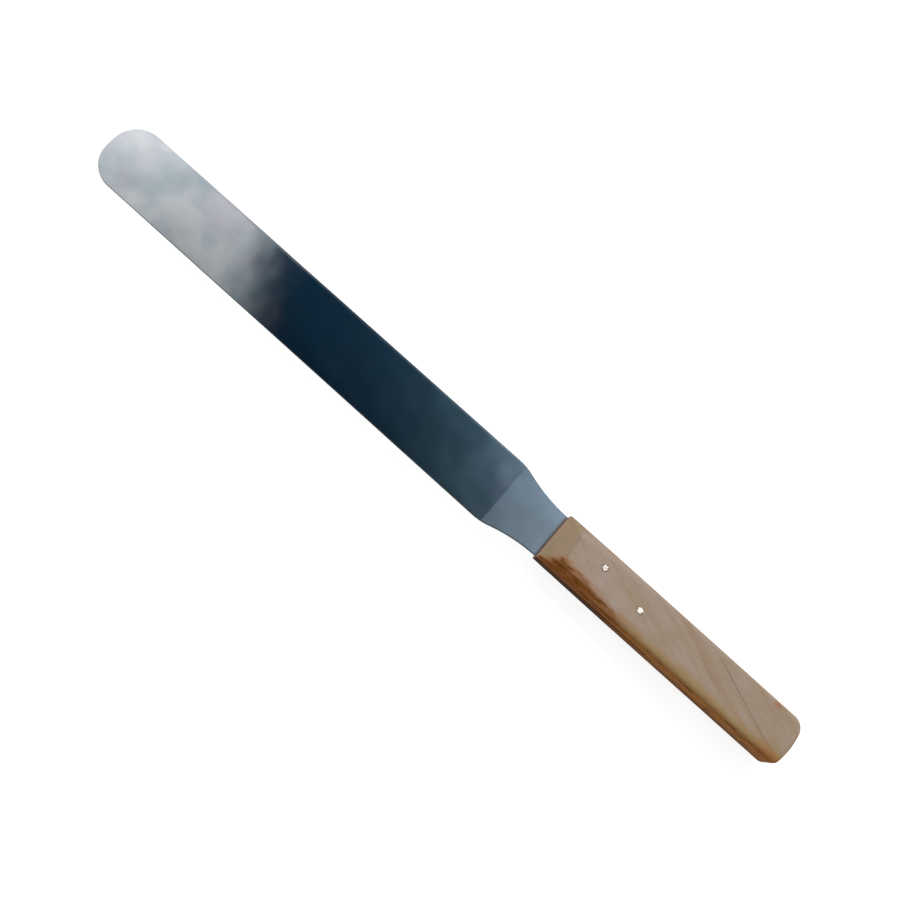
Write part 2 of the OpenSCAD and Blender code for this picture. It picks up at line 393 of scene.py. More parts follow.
def polished_steel():
    """Spring steel, ground along its taper and polished: a dark, cold mirror with soft
    blue and violet clouds of haze, duller at the neck, which the wheel did not reach."""
    look, sizes = bpy.context.scene.steel_look, bpy.context.scene.spatula_blade
    material = bpy.data.materials.new("polished_steel")
    add = node_adder(material)
    place = level_place(add)
    xyz = add("SeparateXYZ", {"Vector": place})
    x, y = xyz.outputs["X"], xyz.outputs["Y"]

    # Haze in clouds 16 mm across and bloom in clouds 12 mm across
    clouds = add("TexNoise", {"Vector": place, "Scale": 1 / 16, "Detail": 5.0, "Distortion": 0.4})
    haze = add("MapRange", {"Value": clouds, "From Min": 0.34, "From Max": 0.68},
               interpolation_type="SMOOTHSTEP")
    steel = add("Mix", {"Factor": haze, "A": look.bright, "B": look.haze}, data_type="RGBA")
    clouds = add("TexNoise", {"Vector": place, "W": 4.0, "Scale": 1 / 12, "Detail": 1.0},
                 noise_dimensions="4D")
    bloom = add("MapRange", {"Value": clouds, "From Min": 0.45, "From Max": 0.7, "To Max": 0.7},
                interpolation_type="SMOOTHSTEP")
    steel = add("Mix", {"Factor": bloom, "A": steel, "B": look.bloom}, data_type="RGBA")

    # The first grinding marks lie across the blade, uneven by a few tenths of a millimetre
    uneven = add("TexNoise", {"Vector": place, "Scale": 1 / 6})
    reach = add("Math", {0: uneven, 1: 1.2, 2: x}, operation="MULTIPLY_ADD")
    first_mark = (sizes.grind_l + sizes.grind_run / 2) / MM
    ground = add("MapRange", {"Value": reach, "From Min": first_mark,
                              "From Max": first_mark + 1.0}, interpolation_type="SMOOTHSTEP")
    neck = add("Mix", {"Factor": haze, "A": look.neck, "B": look.neck_cloud}, data_type="RGBA")
    steel = add("Mix", {"Factor": ground, "A": neck, "B": steel}, data_type="RGBA")

    # Polishing streaks along the blade, drawn 0.4 mm wide so that they show
    streak_size = add("Mapping", {"Vector": place, "Scale": (12, 0.4, 1)}, vector_type="TEXTURE")
    streaks = add("TexNoise", {"Vector": streak_size, "Scale": 1.0, "Detail": 2.0})
    polish = add("Math", {0: streaks, 1: 0.01, 2: look.polish}, operation="MULTIPLY_ADD")
    polish = add("Math", {0: haze, 1: 0.02, 2: polish}, operation="MULTIPLY_ADD")
    rough = add("Mix", {"Factor": ground, "A": look.neck_finish, "B": polish})

    # Use has scuffed the last 1.4 mm before the right rim, which runs inwards to the tip
    half_w, half_tip = sizes.width / 2 / MM, sizes.tip_width / 2 / MM
    rim_y = add("MapRange", {"Value": x, "From Min": sizes.shoulder_l / MM,
                             "From Max": sizes.length / MM,
                             "To Min": -half_w, "To Max": -half_tip})
    inward = add("Math", {0: y, 1: rim_y}, operation="SUBTRACT")
    scuffed = add("MapRange", {"Value": inward, "From Min": 1.4, "From Max": 0.0},
                  interpolation_type="SMOOTHSTEP")
    rough = add("Mix", {"Factor": scuffed, "A": rough, "B": look.worn_finish})

    # The thin steel is wavy by some hundredths of a millimetre over 14 mm
    waves = add("TexNoise", {"Vector": place, "Scale": 1 / 14, "Detail": 1.0})
    bump = add("Bump", {"Height": waves, "Strength": 1.0, "Distance": 0.08 * MM})
    stained_metal(add, x, steel, rough, Normal=bump)
    return material


def painted_shade_rim():
    """Dull, dark steel on the left rim and the tip's middle, a painted shade along the rim."""
    look = bpy.context.scene.steel_look
    material = bpy.data.materials.new("painted_shade_rim")
    add = node_adder(material)
    place = level_place(add)
    x = add("SeparateXYZ", {"Vector": place}).outputs["X"]
    # Duller and brighter patches 3 mm across
    patches = add("TexNoise", {"Vector": place, "Scale": 1 / 3, "Detail": 2.0})
    rough = add("Math", {0: patches, 1: 0.15, 2: look.edge_finish}, operation="MULTIPLY_ADD")
    stained_metal(add, x, look.edge, rough, **{"Specular Tint": look.edge_sheen})
    return material


def late_wood_and_shade_line(add, place, start, end, half_w):
    """1 on a thin, slightly bent line between two places in mm, which fades at both ends."""
    run = Vector(end) - Vector(start)
    local = add("Mapping", {"Vector": place, "Location": (*start, 0),
                            "Rotation": (0, 0, math.atan2(run.y, run.x))}, vector_type="TEXTURE")
    xyz = add("SeparateXYZ", {"Vector": local})
    # Bent by some tenths of a millimetre over 9 mm, and faded over the last 4 mm
    bend = add("TexNoise", {"Vector": place, "Scale": 1 / 9, "Detail": 1.0})
    bend = add("Math", {0: bend, 1: -0.5}, operation="ADD")
    across = add("Math", {0: bend, 1: 1.6, 2: xyz.outputs["Y"]}, operation="MULTIPLY_ADD")
    across = add("Math", {0: across}, operation="ABSOLUTE")
    line = add("MapRange", {"Value": across, "From Min": half_w, "From Max": half_w * 0.3},
               interpolation_type="SMOOTHSTEP")
    for near, far in ((-2, 4), (run.length + 2, run.length - 4)):
        end_fade = add("MapRange", {"Value": xyz.outputs["X"], "From Min": near, "From Max": far},
                       interpolation_type="SMOOTHSTEP")
        line = add("Math", {0: line, 1: end_fade}, operation="MULTIPLY")
    return line


def stain_and_highlight(add, place, centre, reach):
    """1 in the middle of a soft spot, 0 past its reach in mm along and across the handle; the
    spots are stains and a painted highlight.
    """
    through = 30
    local = add("Mapping", {"Vector": place, "Location": (*centre, 0),
                            "Scale": (*reach, through)}, vector_type="TEXTURE")
    away = add("VectorMath", {0: local}, operation="LENGTH")
    return add("MapRange", {"Value": away, "From Min": 1.0, "From Max": 0.3},
               interpolation_type="SMOOTHSTEP")


def dry_beech():
    """Steamed beech, shaved and sanded, gone dry and grey on its faces, burnished brown
    along its handled sides, with late wood lines and small dark ray flecks."""
    look, sizes = bpy.context.scene.beech_look, bpy.context.scene.spatula_handle
    material = bpy.data.materials.new("dry_beech")
    add = node_adder(material)
    place = level_place(add)
    xyz = add("SeparateXYZ", {"Vector": place})
    x, y, z = xyz.outputs["X"], xyz.outputs["Y"], xyz.outputs["Z"]
    length_mm = sizes.length / MM

    # Rosier in front and yellower behind, in patches 8 mm across
    patches = add("TexNoise", {"Vector": place, "Scale": 1 / 8, "Detail": 2.0})
    rosy = add("MapRange", {"Value": x, "From Min": -90, "From Max": -25,
                            "To Min": -0.65, "To Max": -0.15})
    rosy = add("Math", {0: patches, 1: 1.6, 2: rosy}, operation="MULTIPLY_ADD", use_clamp=True)
    wood = add("Mix", {"Factor": rosy, "A": look.rear_face, "B": look.front_face},
               data_type="RGBA")

    # Growth bands 3 mm wide, fibres drawn 0.5 mm wide so that they show, and ray flecks
    band_size = add("Mapping", {"Vector": place, "Rotation": (0, 0, look.ring_turn),
                                "Scale": (40, 3, 6)}, vector_type="TEXTURE")
    bands = add("TexNoise", {"Vector": band_size, "Scale": 1.0, "Detail": 2.0})
    bands = add("MapRange", {"Value": bands, "From Min": 0.45, "From Max": 0.7, "To Max": 0.7},
                interpolation_type="SMOOTHSTEP")
    wood = add("Mix", {"Factor": bands, "A": wood, "B": look.band}, data_type="RGBA")
    fibre_size = add("Mapping", {"Vector": place, "Scale": (5, 0.5, 0.5)}, vector_type="TEXTURE")
    fibres = add("TexNoise", {"Vector": fibre_size, "Scale": 1.0, "Detail": 3.0})
    fibre_tone = add("MapRange", {"Value": fibres, "From Min": 0.45, "From Max": 0.75,
                                  "To Max": 0.14})
    wood = add("Mix", {"Factor": fibre_tone, "A": wood, "B": look.line}, data_type="RGBA")
    fleck_size = add("Mapping", {"Vector": place, "Rotation": (0, 0, look.ring_turn * 1.6),
                                 "Scale": (1.3, 0.45, 0.6)}, vector_type="TEXTURE")
    flecks = add("TexNoise", {"Vector": fleck_size, "Scale": 1.0, "Detail": 1.0})
    flecks = add("MapRange", {"Value": flecks, "From Min": 0.69, "From Max": 0.8, "To Max": 0.5},
                 interpolation_type="SMOOTHSTEP")
    wood = add("Mix", {"Factor": flecks, "A": wood, "B": look.line}, data_type="RGBA")

    # The front bevel is sanded back to yellower wood, made darker as a painted shade of its slope
    bevel_end = -sizes.bevel_l / MM
    bevel = add("Math", {0: y, 1: 0.2, 2: x}, operation="MULTIPLY_ADD")
    bevel = add("Math", {0: patches, 1: 3.0, 2: bevel}, operation="MULTIPLY_ADD")
    bevel = add("MapRange", {"Value": bevel, "From Min": bevel_end + 0.6,
                             "From Max": bevel_end + 2.2, "To Max": 0.8},
                interpolation_type="SMOOTHSTEP")
    olive = add("MapRange", {"Value": patches, "From Min": 0.4, "From Max": 0.6},
                interpolation_type="SMOOTHSTEP")
    sanded = add("Mix", {"Factor": olive, "A": look.bevel, "B": look.olive}, data_type="RGBA")
    wood = add("Mix", {"Factor": bevel, "A": wood, "B": sanded}, data_type="RGBA")

    # Two lines of late wood near the butt, a painted shade along the bevel's arris, and dirt in a
    # fleck
    for start, end, half_w, depth in (
            ((-69.5, -6.5), (-107.0, 7.6), 0.35, 0.45),
            ((-63.8, -2.4), (-79.5, 4.4), 0.3, 0.3),
            # Painted shade: a soft dark line along the bevel's arris
            ((-8.0, 6.0), (-6.0, -9.6), 0.9, 0.22),
            ((-7.3, 1.1), (-9.2, 0.6), 0.5, 0.6)):
        line = late_wood_and_shade_line(add, place, start, end, half_w)
        line = add("Math", {0: line, 1: depth}, operation="MULTIPLY")
        wood = add("Mix", {"Factor": line, "A": wood, "B": look.line}, data_type="RGBA")

    # Where the brown of the left side begins: mm from the middle, by mm from the front. A
    # ramp's colours go from 0 to 1, so they hold these in tens of millimetres.
    edge_unit = 10
    along = add("MapRange", {"Value": x, "From Min": -length_mm, "From Max": 0.0})
    edge = add("ValToRGB", {"Fac": along}, stops=[
        (1 + place_mm / length_mm, (mm / edge_unit,) * 3 + (1,)) for place_mm, mm in (
            (-length_mm, 7.1), (-100.0, 6.7), (-88.0, 7.6), (-62.0, 6.9), (-48.0, 7.6),
            (-28.0, 6.6), (-15.0, 4.8), (-6.8, 4.3), (-2.7, 7.6), (0.0, 9.1))])
    uneven_size = add("Mapping", {"Vector": place, "Scale": (5, 1.3, 3)}, vector_type="TEXTURE")
    uneven = add("TexNoise", {"Vector": uneven_size, "Scale": 1.0, "Detail": 4.0})
    ragged = add("MapRange", {"Value": uneven, "From Min": 0.25, "From Max": 0.75,
                              "To Min": -1.1, "To Max": 1.1})
    past_edge = add("Math", {0: edge, 1: -edge_unit, 2: y}, operation="MULTIPLY_ADD")
    past_edge = add("Math", {0: past_edge, 1: ragged}, operation="ADD")

    # Orange wood before the brown in front, partly a painted highlight along the arris, and a
    # wider tan behind
    behind = add("MapRange", {"Value": x, "From Min": -28.0, "From Max": -42.0},
                 interpolation_type="SMOOTHSTEP")
    wear_and_highlight_colour = add("Mix", {"Factor": behind, "A": look.orange_and_highlight, "B": look.tan}, data_type="RGBA")
    wear_and_highlight_from = add("MapRange", {"Value": behind, "To Min": -1.8, "To Max": -3.6})
    wear_and_highlight = add("MapRange", {"Value": past_edge, "From Min": wear_and_highlight_from, "From Max": 0.8,
                            "To Max": 0.8}, interpolation_type="SMOOTHSTEP")
    wood = add("Mix", {"Factor": wear_and_highlight, "A": wood, "B": wear_and_highlight_colour}, data_type="RGBA")

    # The brown deepens over 1.6 mm in front and over 3.4 mm behind, mottled all along
    brown_to = add("MapRange", {"Value": behind, "To Min": 1.6, "To Max": 3.4})
    brown = add("MapRange", {"Value": past_edge, "From Min": 0.0, "From Max": brown_to})
    mottle = add("MapRange", {"Value": uneven, "From Min": 0.3, "From Max": 0.55,
                              "To Min": 0.7, "To Max": 1.0})
    brown = add("Math", {0: brown, 1: mottle}, operation="MULTIPLY")
    paler = add("MapRange", {"Value": behind, "To Min": 1.0, "To Max": 0.4})
    brown = add("Math", {0: brown, 1: paler}, operation="MULTIPLY")
    wood = add("Mix", {"Factor": brown, "A": wood, "B": look.burnish}, data_type="RGBA")

    # The side is brown in patches of wear 4.5 mm long, with painted shade darker downwards and a
    # painted shadow under the lower edge in front
    half_w = sizes.width / 2 / MM
    low = add("MapRange", {"Value": y, "From Min": half_w - 0.6, "From Max": half_w - 0.1,
                           "To Max": 0.9}, interpolation_type="SMOOTHSTEP")
    side = add("Mix", {"Factor": behind, "A": look.side, "B": look.rear_side}, data_type="RGBA")
    wood = add("Mix", {"Factor": low, "A": wood, "B": side}, data_type="RGBA")
    brown = add("Math", {0: brown, 1: low}, operation="MAXIMUM")
    patch_size = add("Mapping", {"Vector": place, "Scale": (4.5, 1.3, 3)}, vector_type="TEXTURE")
    worn_patches = add("TexNoise", {"Vector": patch_size, "Scale": 1.0, "Detail": 3.0})
    for near, far, depth, shade in ((0.5, 0.66, 0.65, look.deep_brown_and_shade), (0.46, 0.34, 0.35, look.orange_and_highlight)):
        patch = add("MapRange", {"Value": worn_patches, "From Min": near, "From Max": far,
                                 "To Max": depth}, interpolation_type="SMOOTHSTEP")
        patch = add("Math", {0: patch, 1: brown}, operation="MULTIPLY")
        wood = add("Mix", {"Factor": patch, "A": wood, "B": shade}, data_type="RGBA")
    # Painted shade: the left side darker towards its lower part
    painted_low_shade = add("MapRange", {"Value": z, "From Min": 0.5, "From Max": -3.0, "To Max": 0.7},
                 interpolation_type="SMOOTHSTEP")
    painted_low_shade = add("Math", {0: painted_low_shade, 1: low}, operation="MULTIPLY")
    wood = add("Mix", {"Factor": painted_low_shade, "A": wood, "B": look.deep_brown_and_shade}, data_type="RGBA")
    # Painted shadow under the lower edge in front, where the handle lies on the floor
    under = add("MapRange", {"Value": z, "From Min": -0.6, "From Max": -2.0},
                interpolation_type="SMOOTHSTEP")
    front = add("MapRange", {"Value": x, "From Min": -38.0, "From Max": -24.0},
                interpolation_type="SMOOTHSTEP")
    under = add("Math", {0: under, 1: front}, operation="MULTIPLY")
    under = add("Math", {0: under, 1: low}, operation="MULTIPLY")
    wood = add("Mix", {"Factor": under, "A": wood, "B": look.painted_contact_shadow}, data_type="RGBA")

    # The right side, handled less, stains at the butt, spots of painted highlight on the arris in
    # front, and painted light on the front face above the neck
    right = add("Math", {0: uneven, 1: 1.0, 2: -half_w}, operation="MULTIPLY_ADD")
    right = add("Math", {0: right, 1: y}, operation="SUBTRACT")
    right = add("MapRange", {"Value": right, "From Min": -0.2, "From Max": 0.8, "To Max": 0.7},
                interpolation_type="SMOOTHSTEP")
    wood = add("Mix", {"Factor": right, "A": wood, "B": look.orange_and_highlight}, data_type="RGBA")
    # The two spots on the arris, 8.6 and 12 mm behind the front, are a painted highlight; the
    # others are stains
    for centre, reach, depth in (
            ((-95.6, -7.6), (2.6, 1.4), 0.45), ((-104.0, 8.2), (9.0, 3.2), 0.6),
            ((-108.2, -1.0), (1.2, 8.0), 0.45), ((-8.6, 4.2), (2.4, 0.8), 0.6),
            ((-12.0, 4.9), (1.4, 0.6), 0.6), ((-108.0, 7.5), (1.6, 2.0), 0.6)):
        spot = stain_and_highlight(add, place, centre, reach)
        spot = add("Math", {0: spot, 1: depth}, operation="MULTIPLY")
        wood = add("Mix", {"Factor": spot, "A": wood, "B": look.stain_and_highlight}, data_type="RGBA")
    # Painted light on the front face above the neck, which lies in shade
    end = add("MapRange", {"Value": x, "From Min": -0.4, "From Max": -0.1, "To Max": 0.8})
    wood = add("Mix", {"Factor": end, "A": wood, "B": look.painted_front_light}, data_type="RGBA")

    rough = add("Mix", {"Factor": brown, "A": look.finish, "B": look.burnished})
    height = add("Math", {0: fibres, 1: flecks}, operation="SUBTRACT")
    bump = add("Bump", {"Height": height, "Strength": 1.0, "Distance": 0.006 * MM})
    # Dry, open wood gives back less sheen than its index alone
    shader = add("BsdfPrincipled", {"Base Color": wood, "Roughness": rough, "IOR": 1.5,
                                    "Specular IOR Level": 0.02, "Normal": bump})
    add("OutputMaterial", {"Surface": shader})
    return material


def peened_wire():
    """Soft bright iron wire, hammered over and filed: shining planishing marks round a
    duller middle, with dirt round the rim."""
    look, sizes = bpy.context.scene.wire_look, bpy.context.scene.spatula_pins
    material = bpy.data.materials.new("peened_wire")
    add = node_adder(material)
    place = level_place(add)
    flat = add("VectorMath", {0: place, 1: (1, 1, 0)}, operation="MULTIPLY")
    front = add("VectorMath", {0: flat, 1: (-sizes.front_x / MM, -sizes.front_side / MM, 0)},
                operation="DISTANCE")
    rear = add("VectorMath", {0: flat, 1: (-sizes.rear_x / MM, -sizes.rear_side / MM, 0)},
               operation="DISTANCE")
    away = add("Math", {0: front, 1: rear}, operation="MINIMUM")
    # Hammer marks 1.1 by 0.7 mm make the edges of the shining ring and of the dirt uneven
    mark_size = add("Mapping", {"Vector": flat, "Scale": (1.1, 0.7, 1)}, vector_type="TEXTURE")
    marks = add("TexNoise", {"Vector": mark_size, "Scale": 1.0, "Detail": 1.0})
    away = add("Math", {0: marks, 1: 1.9, 2: away}, operation="MULTIPLY_ADD")
    dull = add("MapRange", {"Value": away, "From Min": 1.4, "From Max": 1.0, "To Max": 0.7},
               interpolation_type="SMOOTHSTEP")
    tone = add("Mix", {"Factor": dull, "A": look.bright, "B": look.dull}, data_type="RGBA")
    dirt = add("MapRange", {"Value": away, "From Min": 1.7, "From Max": 2.05},
               interpolation_type="SMOOTHSTEP")
    tone = add("Mix", {"Factor": dirt, "A": tone, "B": look.dirt}, data_type="RGBA")
    metal = add("Math", {0: 1.0, 1: dirt}, operation="SUBTRACT")
    bump = add("Bump", {"Height": marks, "Strength": 1.0, "Distance": 0.04 * MM})
    shader = add("BsdfPrincipled", {"Base Color": tone, "Metallic": metal,
                                    "Roughness": look.finish, "Normal": bump})
    add("OutputMaterial", {"Surface": shader})
    return material


class SPATULA_OT_make_blade(bpy.types.Operator):
    """Draws, blanks and grinds the steel piece"""
    bl_idname = "spatula.make_blade"
    bl_label = "Make the blade"

    def execute(self, context):
        s = context.scene.spatula_blade
        bm = bmesh.new()
        half_w, half_neck, half_tip = s.width / 2, s.neck_w / 2, s.tip_width / 2
        rise = half_w - half_neck
        arc_sum = (rise ** 2 + s.shoulder_l ** 2) / (2 * rise)
        hollow_r = min(s.neck_r, 0.9 * arc_sum)
        shoulder_r = arc_sum - hollow_r
        arc_turn = math.asin(s.shoulder_l / arc_sum)
        tip_start = s.length - set_back_of(half_tip, s.tip_corner_r, s.tip_bow_r)

        for hand in (1, -1):
            v = bmesh.ops.create_vert(bm, co=(-s.tang_l, 0, 0))["vert"][0]
            v = drawn_line(bm, v, -s.tang_l, hand * half_neck)
            v = drawn_line(bm, v, 0, hand * half_neck)
            v = drawn_arc(bm, v, (0, hand * (half_neck + hollow_r), 0), hand * arc_turn,
                          NECK_STEPS)
            v = drawn_arc(bm, v, (s.shoulder_l, hand * (half_w - shoulder_r), 0),
                          -hand * arc_turn, NECK_STEPS)
            v = drawn_line(bm, v, tip_start, hand * half_tip)
            bowed_end(bm, v, s.length, half_tip, s.tip_corner_r, s.tip_bow_r, 1, hand)
        blank_cut_from(bm, s.neck_t)
        self.grind(bm, s)

        rim_fold, near_level = math.radians(60), 0.2 * MM
        rim = [e for e in bm.edges
               if len(e.link_faces) == 2 and e.calc_face_angle() > rim_fold
               and abs(e.verts[0].co.z - e.verts[1].co.z) < near_level]
        bmesh.ops.bevel(bm, geom=rim, offset=s.rim_r, offset_type="OFFSET", segments=3,
                        profile=0.5, affect="EDGES", material=-1, clamp_overlap=True)
        bm.normal_update()
        # The right rim is rubbed bright; the left one and the tip's middle get dull, dark steel as
        # a painted shade
        flat_as, shaded_rim_from = math.cos(math.radians(12)), -0.1
        for face in bm.faces:
            is_rim = abs(face.normal.z) < flat_as
            face.smooth = is_rim
            face.material_index = int(is_rim and face.normal.y > shaded_rim_from)
        bm.transform(at_rest())
        hand_over(mesh_object(bm, "spatula_blade"), "steel", "blade",
                  polished_steel(), painted_shade_rim())
        return {"FINISHED"}

    def grind(self, bm, s):
        """Grinds both faces from the eased run-out of the wheel down to the thin tip."""
        slices = 8
        for i in range(slices + 1):
            bmesh.ops.bisect_plane(bm, geom=bm.verts[:] + bm.edges[:] + bm.faces[:],
                                   plane_co=(s.grind_l + s.grind_run * i / slices, 0, 0),
                                   plane_no=(1, 0, 0))
        run_end = s.grind_l + s.grind_run
        ground_h = s.neck_t / 2 - s.grind_d
        for vert in bm.verts:
            along = (vert.co.x - s.grind_l) / s.grind_run
            if along <= 1:
                along = max(along, 0)
                half_t = s.neck_t / 2 - s.grind_d * along * along * (3 - 2 * along)
            else:
                thinned = (vert.co.x - run_end) / (s.length - run_end)
                half_t = ground_h + (s.tip_t / 2 - ground_h) * thinned
            vert.co.z = math.copysign(half_t, vert.co.z)


def shave(bm, point, outward):
    """Takes off everything in front of a plane and closes the cut."""
    made = bmesh.ops.bisect_plane(
        bm, geom=bm.verts[:] + bm.edges[:] + bm.faces[:], plane_co=point,
        plane_no=Vector(outward).normalized(), clear_outer=True, dist=WELD)
    edges = [g for g in made["geom_cut"] if isinstance(g, bmesh.types.BMEdge)]
    bmesh.ops.contextual_create(bm, geom=edges)


def spread_wire(sizes, half_t, r, overlength, dome):
    """A wire along Z whose ends spread into cones at the faces of the handle."""
    bm = bmesh.new()
    top = half_t + overlength
    head_r = r + sizes.spread * (sizes.sink + overlength) / sizes.sink
    v = bmesh.ops.create_vert(bm, co=(0, 0, top + dome))["vert"][0]
    if dome:
        dome_r = (head_r ** 2 + dome ** 2) / (2 * dome)
        v = drawn_arc(bm, v, (0, 0, top + dome - dome_r), math.asin(head_r / dome_r),
                      DOME_STEPS, (0, 1, 0))
    else:
        v = drawn_line(bm, v, head_r, 0, top)
    v = drawn_line(bm, v, r, 0, half_t - sizes.sink)
    drawn_line(bm, v, r, 0, 0)
    bmesh.ops.mirror(bm, geom=bm.verts[:] + bm.edges[:], matrix=Matrix.Identity(4),
                     merge_dist=WELD, axis="Z")
    bmesh.ops.remove_doubles(bm, verts=bm.verts[:], dist=WELD)
    bmesh.ops.spin(bm, geom=bm.edges[:], cent=(0, 0, 0), axis=(0, 0, 1), dvec=(0, 0, 0),
                   angle=2 * math.pi, steps=ROUND_STEPS, use_merge=True, use_duplicate=False)
    bmesh.ops.remove_doubles(bm, verts=bm.verts[:], dist=WELD)
    bmesh.ops.recalc_face_normals(bm, faces=bm.faces[:])
    return bm


class SPATULA_OT_make_handle(bpy.types.Operator):
    """Saws, shaves, rubs down and bores the wooden handle"""
    bl_idname = "spatula.make_handle"
    bl_label = "Make the handle"

    def execute(self, context):
        s = context.scene.spatula_handle
        bm = bmesh.new()
        half_w, half_t = s.width / 2, s.thickness / 2
        for hand, corner_r in ((1, s.left_butt_r), (-1, s.right_butt_r)):
            body_l = s.length - set_back_of(half_w, corner_r, s.butt_bow_r)
            v = bmesh.ops.create_vert(bm, co=(0, 0, 0))["vert"][0]
            v = drawn_line(bm, v, 0, hand * half_w)
            v = drawn_line(bm, v, -body_l, hand * half_w)
            bowed_end(bm, v, -s.length, half_w, corner_r, s.butt_bow_r, -1, hand)
        blank_cut_from(bm, s.thickness)
        hair = 0.01 * MM
        rims = [e for e in bm.edges if abs(e.verts[0].co.z - e.verts[1].co.z) < hair
                and min(w.co.x for w in e.verts) < -hair]
        bmesh.ops.bevel(bm, geom=rims, offset=s.edge_r, offset_type="OFFSET", segments=8,
                        profile=0.5, affect="EDGES", material=-1, clamp_overlap=True)
        for face in (1, -1):
            for side, width in ((1, s.left_facet_w), (-1, s.right_facet_w)):
                lean = Vector((0, math.sin(s.facet_slope), math.cos(s.facet_slope)))
                lean.rotate(Matrix.Rotation(-s.facet_taper, 3, "Z"))
                shave(bm, (0, side * (half_w - width), face * half_t),
                      (lean.x, side * lean.y, face * lean.z))
            shave(bm, (-s.bevel_l, 0, face * half_t), (s.bevel_d, 0, face * s.bevel_l))
        piece = mesh_object(bm, "spatula_handle")
        apply_modifier(piece, "REMESH", mode="VOXEL", voxel_size=s.grain, use_smooth_shade=True)
        apply_modifier(piece, "SMOOTH", factor=0.5, iterations=s.rubbed)
        self.saw_kerf(context, piece)
        self.bore_for_pins(context, piece)
        piece.data.transform(at_rest())
        for polygon in piece.data.polygons:
            polygon.use_smooth = True
        piece.data.set_sharp_from_angle(angle=math.radians(40))
        hand_over(piece, "beech", "handle", dry_beech())
        return {"FINISHED"}

    def saw_kerf(self, context, piece):
        """Saws the slot for the tang from the front, right through both sides."""
        s, blade = context.scene.spatula_handle, context.scene.spatula_blade
        kerf_l = blade.tang_l + s.kerf_end_gap
        kerf_h = blade.neck_t + 2 * s.kerf_gap
        bm = bmesh.new()
        bmesh.ops.create_cube(bm, size=1)
        bmesh.ops.scale(bm, verts=bm.verts[:], vec=(2 * kerf_l, 2 * s.width, kerf_h))
        saw_away(piece, mesh_object(bm, "saw_cut"))

    def bore_for_pins(self, context, piece):
        """Bores and countersinks the holes for both pins."""
        s, pins = context.scene.spatula_handle, context.scene.spatula_pins
        for x, side in ((pins.front_x, pins.front_side), (pins.rear_x, pins.rear_side)):
            bm = spread_wire(pins, s.thickness / 2, pins.wire_d / 2 + pins.gap, MM, 0)
            bmesh.ops.translate(bm, verts=bm.verts[:], vec=(-x, -side, 0))
            saw_away(piece, mesh_object(bm, "drill"))


class SPATULA_OT_make_pins(bpy.types.Operator):
    """Cuts both pins from wire and hammers their ends over"""
    bl_idname = "spatula.make_pins"
    bl_label = "Make the pins"

    def execute(self, context):
        s = context.scene.spatula_pins
        half_t = context.scene.spatula_handle.thickness / 2
        material = peened_wire()
        dent_w, apart = 0.9 * MM, 9
        for name, x, side in (("front_pin", s.front_x, s.front_side),
                              ("rear_pin", s.rear_x, s.rear_side)):
            bm = spread_wire(s, half_t, s.wire_d / 2, 0, s.dome)
            for vert in bm.verts:
                if abs(vert.co.z) > half_t + WELD:
                    dent = noise.noise(Vector((vert.co.x, vert.co.y, x * apart)) / dent_w)
                    vert.co.z += math.copysign(s.dent * dent, vert.co.z)
            bmesh.ops.translate(bm, verts=bm.verts[:], vec=(-x, -side, 0))
            bm.transform(at_rest())
            for face in bm.faces:
                face.smooth = True
            hand_over(mesh_object(bm, "peened_" + name), "pin_wire", name, material)
        return {"FINISHED"}


def seen_directly(add):
    """1 for camera, mirror and glass rays, and 0 for rays that gather soft light."""
    path = add("LightPath")
    seen = add("Math", {0: path.outputs["Is Camera Ray"], 1: path.outputs["Is Glossy Ray"]},
               operation="MAXIMUM")
    return add("Math", {0: seen, 1: path.outputs["Is Transmission Ray"]}, operation="MAXIMUM")


def paper_floor(look):
    """White paper sweep: shows white, and still takes the soft shadow."""
    material = bpy.data.materials.new("paper_floor")
    add = node_adder(material)
    paper = add("BsdfDiffuse", {"Color": look.paper})
    lift = add("Math", {0: seen_directly(add), 1: look.floor_lift}, operation="MULTIPLY")
    glow = add("Emission", {"Color": linear("#FFFFFF"), "Strength": lift})
    both = add("AddShader", {0: paper, 1: glow})
    add("OutputMaterial", {"Surface": both})
    return material


def graded_card(look):
    """Dark graded card that hangs over the object, which only the polish mirrors."""
    material = bpy.data.materials.new("graded_card")
    add = node_adder(material)
    place = add("TexCoord").outputs["Object"]
    xyz = add("SeparateXYZ", {"Vector": place})
    slant = add("Math", {0: xyz.outputs["Y"], 1: -look.card_y}, operation="ADD")
    reach = add("Math", {0: slant, 1: look.card_slant, 2: xyz.outputs["X"]},
                operation="MULTIPLY_ADD")
    ragged = add("TexNoise", {"Vector": place, "Scale": 1 / look.card_ragged, "Detail": 2.0})
    ragged = add("Math", {0: ragged, 1: -0.5}, operation="ADD")
    reach = add("Math", {0: ragged, 1: look.card_ragged, 2: reach}, operation="MULTIPLY_ADD")
    along = add("MapRange", {"Value": reach, "From Min": look.card_from, "From Max": look.card_to})
    # Places in mm from the middle of the object, handle end first, and the card's colours there
    card_l = look.card_to - look.card_from
    stops = [((mm * MM - look.card_from) / card_l, linear(shade)) for mm, shade in (
        (-85, "#8593A2"), (-60, "#586C7A"), (-8, "#37505C"), (70, "#1C3545"), (178, "#04273B"),
        (204, "#0E2638"), (222, "#4C565F"), (243, "#B0B4B7"), (262, "#CDCECF"), (322, "#D0D2D4"),
        (425, "#FFFFFF"))]
    shade = add("ValToRGB", {"Fac": along}, stops=stops)
    # The card is lit from its right side
    across = add("MapRange", {"Value": xyz.outputs["Y"], "From Min": look.card_y - look.card_fade,
                              "From Max": look.card_y + look.card_fade,
                              "To Min": look.card_light, "To Max": look.card_dim})
    light = add("Emission", {"Color": shade, "Strength": across})
    add("OutputMaterial", {"Surface": light})
    return material


